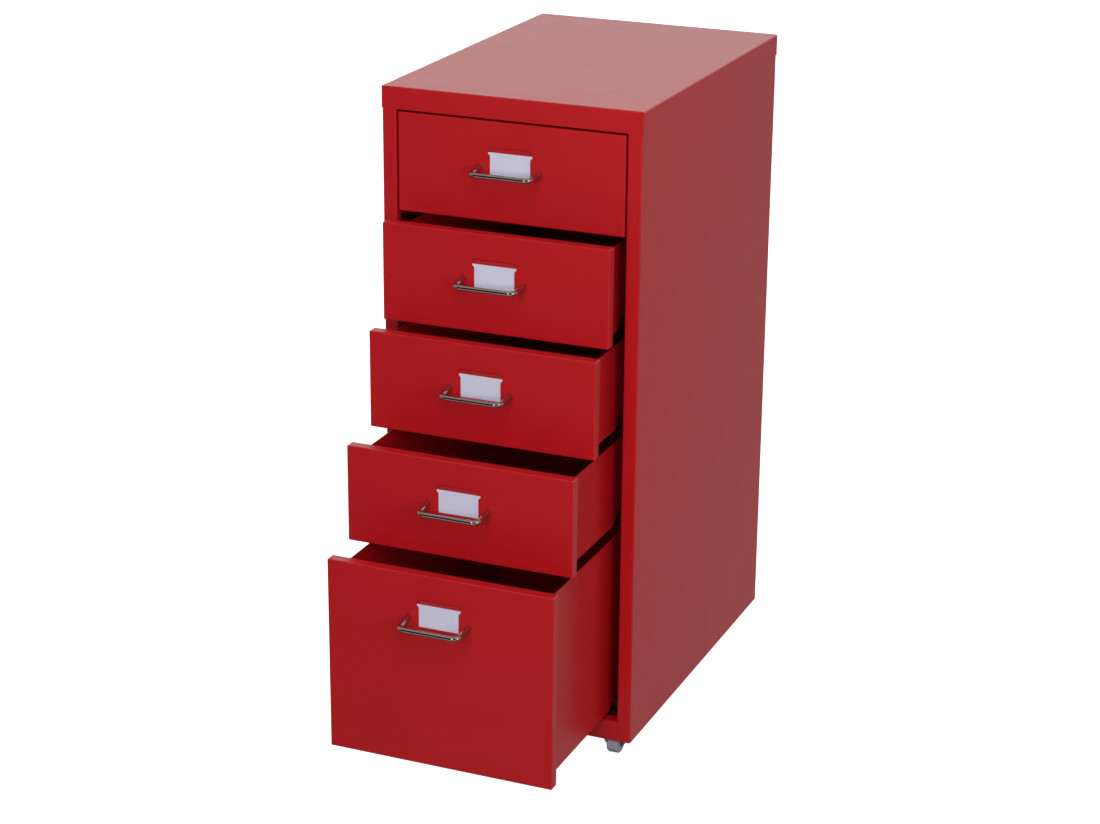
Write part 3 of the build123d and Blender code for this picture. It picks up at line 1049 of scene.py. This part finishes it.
@dataclass(frozen=True)
class LabelHolder:
    """The pressed label holder's sizes. Its heights are measured down from the top edge of a front.

    The slit's bevel is the share of its width by which its inner corners are cut more than its outer ones.
    """

    crease: float = 26.2 * MM
    top: float = 31.5 * MM
    window_bottom: float = 55.5 * MM
    half_window: float = 21.7 * MM
    lip_side: float = 2.3 * MM
    lip_bottom: float = 1.5 * MM
    lip: float = 0.7 * MM
    slot: float = 0.55 * MM
    ear_height: float = 4.3 * MM
    ear_gap: float = 1.9 * MM
    ear_steps: int = 4
    slit: float = 0.6 * MM
    slit_depth: float = 1.2 * MM
    slit_corner: float = 2.6 * MM
    slit_end: float = 1.0 * MM
    slit_bevel: float = 0.6

    def press(self, front: Piece, sheet: float, face_y: float, top_z: float) -> None:
        """Press the pocket into a front and cut its window, the ramp into it and the slit above.

        Args:
            front: the front's folded sheet.
            sheet: its thickness.
            face_y: where its face lies.
            top_z: its top edge.
        """
        half_slot = self.half_window + self.lip_side
        pocket_y = face_y + self.lip + self.slot
        slot_bottom = top_z - self.window_bottom - self.lip_bottom
        open_z = top_z - self.top
        ahead = face_y - sheet
        far = (half_slot + sheet, pocket_y + sheet, top_z - self.crease + sheet)
        front.combine(Piece.box("pad", (-far[0], face_y + sheet / 2, slot_bottom - sheet), far), "UNION")
        pocket_low = (-half_slot, face_y + self.lip, slot_bottom)
        front.combine(Piece.box("pocket", pocket_low, (half_slot, pocket_y, open_z)))
        front.combine(Piece.prism("window", self.window(ahead, open_z), (0, pocket_y - ahead, 0)))
        rise = (self.top - self.crease) * (pocket_y - ahead) / (pocket_y - face_y)
        slope = [(ahead, open_z), (pocket_y, open_z), (ahead, open_z + rise)]
        ramp = [(-half_slot, y, z) for y, z in slope]
        front.combine(Piece.prism("ramp", ramp, (2 * half_slot, 0, 0)))
        deep = (0, face_y + self.slit_depth - ahead, 0)
        front.combine(Piece.prism("slit", self.slit_outline(ahead, top_z), deep))

    def slit_outline(self, y: float, top_z: float) -> list[Place]:
        """The outline of the narrow gap along the crease, its ends turned down.

        Args:
            y: the plane of the outline.
            top_z: the front's top edge.

        Returns:
            The outline's corners, in order.
        """
        end = self.half_window + self.lip_side
        upper = top_z - self.crease
        lower = top_z - self.top + self.slit_end
        cut = self.slit_corner
        inner = self.slit * self.slit_bevel
        right = [(end - cut, upper), (end, upper - cut), (end, lower), (end - self.slit, lower)]
        right += [(end - self.slit, upper - cut - inner), (end - cut - inner, upper - self.slit)]
        return [(x, y, z) for x, z in right] + [(-x, y, z) for x, z in reversed(right)]

    def window(self, y: float, open_z: float) -> list[Place]:
        """The window's outline, with an ear at each top corner that curves out over the lip.

        Args:
            y: the plane of the outline.
            open_z: the window's top.

        Returns:
            The outline's corners, in order.
        """
        right = [(self.half_window, y, open_z - self.window_bottom + self.top)]
        for angle in angles(math.pi / 2, self.ear_steps):
            x = self.half_window + self.lip_side * (1 - math.cos(angle))
            z = open_z - self.ear_height + (self.ear_height - self.ear_gap) * math.sin(angle)
            right.append((x, y, z))
        right.append((self.half_window + self.lip_side, y, open_z))
        return right + [(-x, y, z) for x, _, z in reversed(right)]


@dataclass
class Drawers:
    """Five drawers: a folded front with its label and pull, and the tray behind it."""

    looks: Looks
    count: int = 5
    front_gauge: Gauge = Gauge(bend=1.2 * MM)
    tray_gauge: Gauge = Gauge(sheet=0.8 * MM, bend=1.3 * MM, bend_steps=4, burr=0.12 * MM)
    holder: LabelHolder = LabelHolder()
    tray_flange: float = 9 * MM
    rim_drop: float = 8.5 * MM
    lug_width: float = 9 * MM
    lug_thickness: float = 3 * MM
    lug_height: float = 12 * MM
    lug_rise: float = 7 * MM
    lug_burr: float = 0.4 * MM
    lug_back: float = 84.7 * MM
    pull_radius: float = 2.5 * MM
    pull_bend: float = 7 * MM
    pull_down: float = 46.5 * MM
    pull_droop: float = 2.5 * MM
    card_edge: float = 0.08 * MM
    screw: PanHeadScrew = PanHeadScrew(
        head_radius=2.8 * MM, head=2 * MM, shank_radius=1.45 * MM, shank=7 * MM
    )

    def build(self) -> None:
        """Make each kind of piece once and copy it to the drawers that it fits."""
        patterns = {number: (self.front(number), self.tray(number)) for number in (1, self.count)}
        card, pull, screws = self.card(), self.pull(), self.screws()
        for number in range(1, self.count + 1):
            like = number if number in patterns else 1
            front, tray = patterns[like]
            shift = self.top_edge(number) - self.top_edge(like)
            move = self.top_edge(number) - self.top_edge(1)
            copies = [
                (front, "pressed_front", shift, self.looks.paint, "front"),
                (tray, "drawer_tray", shift, self.looks.paint, "body"),
                (card, "label_slip", move, self.looks.card, "label_card"),
                (pull, "wire_pull", move, self.looks.chrome, "handle"),
                (screws, "pull_screws", move, self.looks.zinc, "handle_screws"),
            ]
            body = f"drawer_{number}"
            for pattern, name, by, look, kind in copies:
                pattern.copy(f"{name}_{number}", by).finish(look, body, f"{body}_{kind}")
        for pattern in (*patterns[1], *patterns[self.count], card, pull, screws):
            pattern.discard()

    @staticmethod
    def top_edge(number: int) -> Vector:
        """The middle of the top edge of a drawer's face."""
        low, high = corners(f"drawer_{number}_front")
        return Vector((0, low.y, high.z))

    def front(self, number: int) -> Piece:
        """Fold a sheet back on four sides and press the label holder into it.

        Args:
            number: the drawer that the front fits.

        Returns:
            The front, in edit mode.
        """
        low, high = corners(f"drawer_{number}_front")
        front = open_box(f"front_pattern_{number}", self.front_gauge, low, high, [(0, 1, 0)])
        front.thicken(self.front_gauge.sheet)
        front.soften(self.front_gauge.burr)
        self.holder.press(front, self.front_gauge.sheet, low.y, high.z)
        front.weld(NEAR)
        return front

    def tray(self, number: int) -> Piece:
        """Fold floor, sides and back from one sheet, with flanges behind the front and a lug on each side.

        Args:
            number: the drawer that the tray fits.

        Returns:
            The tray, in edit mode.
        """
        low, high = corners(f"drawer_{number}_body")
        gauge = self.tray_gauge
        half = high.x - self.tray_flange
        skin_y = low.y + gauge.sheet
        start = (-half, skin_y, low.z)
        end = (half, high.y, high.z - self.rim_drop)
        body = open_box(f"tray_pattern_{number}", gauge, start, end, [(0, 0, 1), (0, -1, 0)])
        for side in Side:
            self.turn_out(body, side.value * half, skin_y, side.value * self.tray_flange)
        body.thicken(gauge.sheet)
        body.soften(gauge.burr)
        body.join([self.lug(side, low, high) for side in Side])
        return body

    def turn_out(self, body: Piece, x: float, y: float, flange: float) -> None:
        """Turn the front edge of a tray's side outwards.

        Args:
            body: the tray's skin.
            x: the side's plane.
            y: the plane of the front edge.
            flange: how far it is turned out, with its sign.
        """
        def at_edge(place: Vector, way: Vector) -> bool:
            """Whether an edge is the fold line."""
            return abs(way.z) > ALIGNED and abs(place.y - y) < NEAR and abs(place.x - x) < NEAR

        body.pick_edges(at_edge)
        body.extrude((flange, 0, 0))
        body.pick_edges(at_edge)
        body.round_edges(self.tray_gauge.bend - self.tray_gauge.sheet, self.tray_gauge.bend_steps)

    def lug(self, side: Side, low: Vector, high: Vector) -> Piece:
        """Make the stop lug on one side of a tray.

        Args:
            side: the side.
            low: the tray's lowest corner.
            high: the tray's highest corner.

        Returns:
            The lug, in edit mode.
        """
        half = high.x - self.tray_flange
        inner, outer = sorted((side.value * half, side.value * (half + self.lug_width)))
        y = high.y - self.lug_back
        z = low.z + self.lug_rise
        lug = Piece.box("lug", (inner, y, z), (outer, y + self.lug_thickness, z + self.lug_height))
        lug.soften(self.lug_burr)
        return lug

    def card(self) -> Piece:
        """Cut the card that slides into the holder.

        Returns:
            The card, in edit mode.
        """
        card = Piece.box("card_pattern", *corners("drawer_1_label_card"))
        card.soften(self.card_edge)
        return card

    def pull(self) -> Piece:
        """Bend a wire to a U whose legs droop a little from the front.

        Returns:
            The pull, in edit mode.
        """
        low, high = corners("drawer_1_handle")
        face = self.top_edge(1)
        root_z = face.z - self.pull_down
        half = high.x - self.pull_radius
        reach = face.y - low.y - self.pull_radius
        inside = self.front_gauge.sheet
        root = (face.y + inside, root_z + self.pull_droop * inside / reach)
        bar = (face.y - reach, root_z - self.pull_droop)
        path = [(-half, *root), (-half, *bar), (half, *bar), (half, *root)]
        pull = Piece.wire("pull_pattern", self.pull_radius, path, self.pull_bend)
        bpy.ops.mesh.select_all(action="SELECT")
        bpy.ops.mesh.bisect(plane_co=face, plane_no=(0, 1, 0), clear_outer=True, use_fill=True)
        pull.weld()
        return pull

    def screws(self) -> Piece:
        """Make the two screws that hold a pull from behind the front's skin.

        Returns:
            Both screws as one piece, in edit mode.
        """
        face = self.top_edge(1)
        span = 2 * (corners("drawer_1_handle")[1].x - self.pull_radius)
        seat = (-span / 2, face.y + self.front_gauge.sheet, face.z - self.pull_down)
        screws = self.screw.make("screws_pattern", seat, Way.FRONT)
        screws.join([screws.copy("second_screw", (span, 0, 0))])
        return screws


@dataclass
class Castors:
    """Four swivel castors, modelled once at the front right and copied to the other corners.

    The kingpin's crown and edge are shares of its head's radius and height. The rivet's pairs are shares of
    its head's radius and of how far down from the head's end they lie.
    """

    looks: Looks
    home: Corner = Corner.FRONT_RIGHT
    plate_thickness: float = 2 * MM
    plate_corner: float = 3 * MM
    plate_steps: int = 5
    plate_burr: float = 0.3 * MM
    race_radius: float = 13 * MM
    race_height: float = 3.6 * MM
    race_round: float = 1.2 * MM
    race_steps: int = 4
    pin_radius: float = 3 * MM
    pin_head_radius: float = 5 * MM
    pin_head: float = 1.7 * MM
    pin_crown: float = 0.8
    pin_edge: float = 0.35
    fork_gauge: Gauge = Gauge(sheet=1.5 * MM, bend=2.6 * MM, bend_steps=5, burr=0.25 * MM)
    fork_leg: float = 8.25 * MM
    fork_flare_top: float = 15.5 * MM
    fork_flare_radius: float = 8 * MM
    fork_shoulder: float = 21 * MM
    dish_radius: float = 3.5 * MM
    dish_wall: float = 1.1 * MM
    eye_radius: float = 5 * MM
    eye_steps: int = 12
    bore: float = 2.05 * MM
    hub_radius: float = 6 * MM
    hub_draft: float = 0.2 * MM
    wheel_edge: float = 0.3 * MM
    tread_round: float = 1.8 * MM
    tread_steps: int = 4
    recess_depth: float = 0.7 * MM
    recess_rim: float = 10.2 * MM
    axle_radius: float = 2 * MM
    axle_head: float = 0.8 * MM
    rivet: tuple[Pair, ...] = ((0.5, 0.0), (0.86, 0.25), (1.0, 0.7), (1.0, 1.0))
    screw_offset: float = 15 * MM
    screw: PanHeadScrew = PanHeadScrew(head_radius=3.5 * MM, head=2 * MM, shank_radius=2 * MM, shank=6 * MM)

    def build(self) -> None:
        """Make one castor's pieces, copy them to the four corners and add the screws."""
        zinc, plastic = self.looks.zinc, self.looks.plastic
        kinds = {
            "plate": (self.plate(), CABINET, zinc),
            "fork": (self.fork(), "{}_swivel", zinc),
            "axle": (self.axle(), "{}_swivel", zinc),
            "wheel": (self.wheel(), "{}_wheel", plastic),
        }
        for corner in Corner:
            by = self.pivot(corner) - self.pivot(self.home)
            for kind, (pattern, body, look) in kinds.items():
                copy = pattern.copy(f"{corner.value}_{kind}", by)
                copy.finish(look, body.format(corner.value), f"{corner.value}_castor_{kind}")
        for pattern, *_ in kinds.values():
            pattern.discard()
        self.plate_screws()

    @staticmethod
    def pivot(corner: Corner) -> Vector:
        """The point on the floor that a castor swivels over."""
        low, high = corners(f"{corner.value}_castor_plate")
        return Vector(((low.x + high.x) / 2, (low.y + high.y) / 2, 0))

    def home_corners(self, kind: str) -> tuple[Vector, Vector]:
        """The lowest and highest corners of one of the home castor's nodes."""
        return corners(f"{self.home.value}_castor_{kind}")

    def wheel_centre(self) -> Vector:
        """The middle of the home castor's wheel."""
        low, high = self.home_corners("wheel")
        return (low + high) / 2

    def plate(self) -> Piece:
        """Make the square top plate with the raceway and the kingpin below it.

        Returns:
            The plate, in edit mode.
        """
        low, high = self.home_corners("plate")
        pivot = self.pivot(self.home)
        under = high.z - self.plate_thickness
        plate = Piece.box("plate_pattern", (low.x, low.y, under), high)
        plate.pick_edges(lambda place, way: abs(way.z) > ALIGNED)
        plate.round_edges(self.plate_corner, self.plate_steps)
        plate.soften(self.plate_burr)
        race_under = under - self.race_height
        race_profile = [(self.pin_head_radius, race_under)]
        for angle in angles(math.pi / 2, self.race_steps):
            radius = self.race_radius - self.race_round * (1 - math.sin(angle))
            race_profile.append((radius, race_under + self.race_round * (1 - math.cos(angle))))
        race_profile.append((self.race_radius, under))
        pin_profile = [
            (self.pin_head_radius * self.pin_crown, low.z),
            (self.pin_head_radius, low.z + self.pin_head * self.pin_edge),
            (self.pin_head_radius, low.z + self.pin_head),
            (self.pin_radius, low.z + self.pin_head),
            (self.pin_radius, race_under),
        ]
        race = Piece.turned("race", pivot, Way.UP, race_profile)
        pin = Piece.turned("pin", pivot, Way.UP, pin_profile, steps=32)
        plate.join([race, pin])
        return plate

    def fork(self) -> Piece:
        """Bend the strap: a crown and two flared legs, each with a dish for the axle's head in its eye.

        Returns:
            The fork, in edit mode.
        """
        low, high = self.home_corners("fork")
        pivot = self.pivot(self.home)
        wide = high.x - pivot.x
        right = [(self.fork_leg, low.z), (wide, self.fork_flare_top), (wide, high.z)]
        section = right + [(-x, z) for x, z in reversed(right)]
        path = [(pivot.x + x, high.y, z) for x, z in section]
        depth = (0, low.y - high.y, 0)
        flares = (1, 4)
        radii = dict.fromkeys(flares, self.fork_flare_radius)
        fork = folded("fork_pattern", self.fork_gauge, path, depth, radii)
        for side in Side:
            fork.combine(self.dish_wall_ring(side, path, depth), "UNION")
        for side in Side:
            fork.combine(self.sideways("dish", side, self.dish_radius, (self.fork_leg, 2 * wide)))
        fork.combine(self.fork_side_view(low, high), "INTERSECT")
        fork.soften(self.fork_gauge.burr)
        fork.weld()
        return fork

    def sideways(self, name: str, side: Side, radius: float, reach: Pair) -> Piece:
        """A cylinder on the axle's line, from one distance to another on one side of the wheel's middle."""
        ends = sorted((radius, side.value * distance) for distance in reach)
        return Piece.turned(name, self.wheel_centre(), Way.RIGHT, ends)

    def dish_wall_ring(self, side: Side, path: Sequence[Place], depth: Place) -> Piece:
        """The metal round one dish, flush with the leg's outer face.

        Args:
            side: the leg's side.
            path: the fork's section.
            depth: the vector from the section's plane to the fork's other edge.

        Returns:
            A short cylinder cut off by the leg's face.
        """
        reach = (self.fork_leg - self.fork_gauge.sheet, self.fork_leg * 2)
        ring = self.sideways("dish_wall", side, self.dish_radius + self.dish_wall, reach)
        ring.combine(Piece.prism("fork_outline", path, depth), "INTERSECT")
        return ring

    def fork_side_view(self, low: Vector, high: Vector) -> Piece:
        """The fork's outline seen from the side, drawn right through it: shoulders, then a rounded eye.

        Args:
            low: the fork's lowest corner.
            high: its highest corner.

        Returns:
            A closed prism that is wider than the fork.
        """
        eye = self.wheel_centre()
        beyond = self.fork_gauge.sheet
        outline = [(high.y, high.z + beyond), (high.y, self.fork_shoulder)]
        for angle in angles(-math.pi, self.eye_steps):
            y = eye.y + self.eye_radius * math.cos(angle)
            outline.append((y, eye.z + self.eye_radius * math.sin(angle)))
        outline += [(low.y, self.fork_shoulder), (low.y, high.z + beyond)]
        start = low.x - beyond
        across = (high.x - low.x + 2 * beyond, 0, 0)
        return Piece.prism("side_view", [(start, y, z) for y, z in outline], across)

    def wheel(self) -> Piece:
        """Turn the moulded wheel: hub boss, shallow recess, rim and rounded tread edges.

        Returns:
            The wheel, in edit mode.
        """
        low, high = self.home_corners("wheel")
        radius = (high.z - low.z) / 2
        boss = (high.x - low.x) / 2
        rim = boss - self.wheel_edge
        floor = rim - self.recess_depth
        half = [
            (self.bore, boss),
            (self.hub_radius - self.wheel_edge, boss),
            (self.hub_radius, rim),
            (self.hub_radius + self.hub_draft, floor),
            (self.recess_rim - self.wheel_edge, floor),
            (self.recess_rim, rim),
        ]
        for angle in angles(math.pi / 2, self.tread_steps):
            across = radius - self.tread_round * (1 - math.sin(angle))
            half.append((across, rim - self.tread_round * (1 - math.cos(angle))))
        left = [(across, -along) for across, along in half]
        profile = left + half[::-1] + left[:1]
        return Piece.turned("wheel_pattern", self.wheel_centre(), Way.RIGHT, profile, steps=64)

    def axle(self) -> Piece:
        """Turn the rivet that goes through both legs, with a low head on each side.

        Returns:
            The axle, in edit mode.
        """
        low, high = self.home_corners("axle")
        head_radius = (high.z - low.z) / 2
        end = (high.x - low.x) / 2
        half = [(head_radius * across, end - self.axle_head * down) for across, down in self.rivet]
        half.append((self.axle_radius, end - self.axle_head))
        profile = [(across, -along) for across, along in half] + half[::-1]
        return Piece.turned("axle_pattern", self.wheel_centre(), Way.RIGHT, profile, steps=32)

    def plate_screws(self) -> None:
        """The sixteen screws, up through the plates into the base."""
        seat_z = self.home_corners("plate")[1].z - self.plate_thickness
        steps = (-self.screw_offset, self.screw_offset)
        first = self.screw.make("castor_plate_screws", (0, 0, seat_z), Way.UP)
        places = [self.pivot(corner) + Vector((x, y, 0)) for corner in Corner for x in steps for y in steps]
        copies = [first.copy("plate_screw", place) for place in places]
        copies[0].join(copies[1:])
        first.discard()
        copies[0].object.name = "castor_plate_screws"
        copies[0].finish(self.looks.zinc, CABINET, "castor_screws")


@dataclass(frozen=True)
class Glow:
    """The light of one part of the studio, which fades in along x, y or z of the way it is seen in.

    Each ramp goes from where there is no light yet to where it is full: bottom upwards, top downwards.
    """

    brightness: float
    x: Pair | None = None
    y: Pair | None = None
    bottom: Pair | None = None
    top: Pair | None = None

    def light(self, board: NodeBoard, way: Sequence[Socket]) -> Socket:
        """Work out the part's light.

        Args:
            board: the world's nodes.
            way: x, y and z of the way in which the world is seen.

        Returns:
            The socket of its brightness there.
        """
        ramps = zip((*way, way[2]), (self.x, self.y, self.bottom, self.top))
        return board.product(self.brightness, *(board.ease(value, *ramp) for value, ramp in ramps if ramp))


@dataclass(frozen=True)
class Surround:
    """The studio around the floor, lit part by part. Seen is the least light that the camera meets in it."""

    overhead: Glow = Glow(0.43, bottom=(0.35, 0.8))
    backdrop: Glow = Glow(1.39, y=(0.0, 0.5), bottom=(-0.05, 0.1), top=(0.7, 0.35))
    floor_behind: Glow = Glow(0.78, x=(0.36, 0.2), y=(0.0, 0.4), bottom=(-0.8, -0.5), top=(-0.02, -0.15))
    floor_ahead: Glow = Glow(0.65, y=(-0.2, -0.6), top=(-0.45, -0.7))
    sweep_ahead: Glow = Glow(0.08, y=(-0.3, -0.7), bottom=(-0.55, -0.4), top=(-0.15, -0.25))
    right_wall: Glow = Glow(0.28, x=(0.35, 0.8), bottom=(-0.1, 0.1), top=(0.6, 0.35))
    floor_right: Glow = Glow(0.34, x=(0.35, 0.8), bottom=(-0.8, -0.5), top=(0.1, -0.1))
    left_wall: Glow = Glow(0.35, x=(-0.5, -0.9), bottom=(-0.35, -0.15), top=(0.6, 0.35))
    seen: float = 1.0

    def make(self) -> None:
        """Build the world's nodes."""
        world = bpy.data.worlds.new("studio_surround")
        world.use_nodes = True
        bpy.context.scene.world = world
        board = NodeBoard(world.node_tree)
        toward = board.add("TexCoord", {}).outputs["Generated"]
        way = tuple(board.add("SeparateXYZ", {"Vector": toward}).outputs)
        glows = [self.overhead, self.backdrop, self.floor_behind, self.floor_ahead, self.sweep_ahead]
        glows += [self.right_wall, self.floor_right, self.left_wall]
        light = reduce(partial(board.calculate, "ADD"), [glow.light(board, way) for glow in glows])
        looked_at = board.add("LightPath", {}).outputs["Is Camera Ray"]
        strength = board.calculate("MAXIMUM", light, board.product(self.seen, looked_at))
        background = board.add("Background", {"Color": (1, 1, 1, 1), "Strength": strength})
        board.add("OutputWorld", {"Surface": background.outputs["Background"]})


@dataclass(frozen=True)
class Softbox:
    """One square studio light."""

    name: str
    at: Triple
    power: float
    side: float = 1.0
    mirrored: bool = False
    aim: Triple = (0.0, -0.2, 0.35)

    def make(self) -> None:
        """Hang the light and turn it to its aim."""
        leave_edit_mode()
        turn = (Vector(self.aim) - Vector(self.at)).to_track_quat("-Z", "Y").to_euler()
        bpy.ops.object.light_add(type="AREA", location=self.at, rotation=turn)
        lamp = bpy.context.object
        lamp.name = self.name
        lamp.data.size = self.side
        lamp.data.energy = self.power
        lamp.visible_glossy = self.mirrored


@dataclass(frozen=True)
class Studio:
    """Camera, floor and light. The camera's angles are in radians, its focal length in photo pixels."""

    eye: Triple = (0.9981, -2.4895, 1.2617)
    yaw: float = 0.3951
    pitch: float = -0.3444
    roll: float = 0.0091
    focal_pixels: float = 2603.65
    floor_size: float = 40.0
    lamps: tuple[Softbox, ...] = (
        Softbox("high_softbox", at=(0.6, -2.0, 2.2), power=29.5, side=1.3),
        Softbox("front_softbox", at=(0.6, -2.6, 1.2), power=10.5),
        Softbox("right_softbox", at=(1.9, -2.0, 1.2), power=16.0),
        Softbox("left_glint", at=(-0.1, -2.6, 1.05), power=7.0, side=0.6, mirrored=True),
        Softbox("right_glint", at=(2.3, -1.6, 1.0), power=7.5, side=0.6, mirrored=True),
    )

    def build(self) -> None:
        """Set up everything around the object."""
        self.camera()
        self.floor()
        Surround().make()
        for lamp in self.lamps:
            lamp.make()
        bpy.context.scene.view_settings.view_transform = "Standard"

    def camera(self) -> None:
        """Put the camera where the photograph was taken from."""
        leave_edit_mode()
        bpy.ops.object.camera_add(location=self.eye)
        camera = bpy.context.object
        camera.name = "photo_camera"
        ahead = Vector((
            -math.sin(self.yaw) * math.cos(self.pitch),
            math.cos(self.yaw) * math.cos(self.pitch),
            math.sin(self.pitch),
        ))
        level = Vector((math.cos(self.yaw), math.sin(self.yaw), 0))
        upright = level.cross(ahead)
        right = level * math.cos(self.roll) + upright * math.sin(self.roll)
        up = upright * math.cos(self.roll) - level * math.sin(self.roll)
        camera.rotation_euler = Matrix((right, up, -ahead)).transposed().to_euler()
        camera.data.sensor_width = SENSOR_WIDTH
        camera.data.lens = self.focal_pixels * SENSOR_WIDTH / PHOTO_WIDTH
        bpy.context.scene.camera = camera

    def floor(self) -> None:
        """Lay a wide floor under the wheels."""
        leave_edit_mode()
        bpy.ops.mesh.primitive_plane_add(size=self.floor_size)
        floor = Piece("studio_floor")
        leave_edit_mode()
        floor.object.data.materials.append(StudioFloor().make())
        floor.object.visible_diffuse = False
        floor.object.visible_glossy = False
        floor.object.visible_shadow = False


def main() -> None:
    """Build every sub-assembly and the studio."""
    logging.basicConfig(level=logging.INFO, format="%(message)s")
    looks = Looks.make()
    Studio().build()
    Cabinet(looks).build()
    Drawers(looks).build()
    Castors(looks).build()
    leave_edit_mode()


if __name__ == "__main__":
    main()
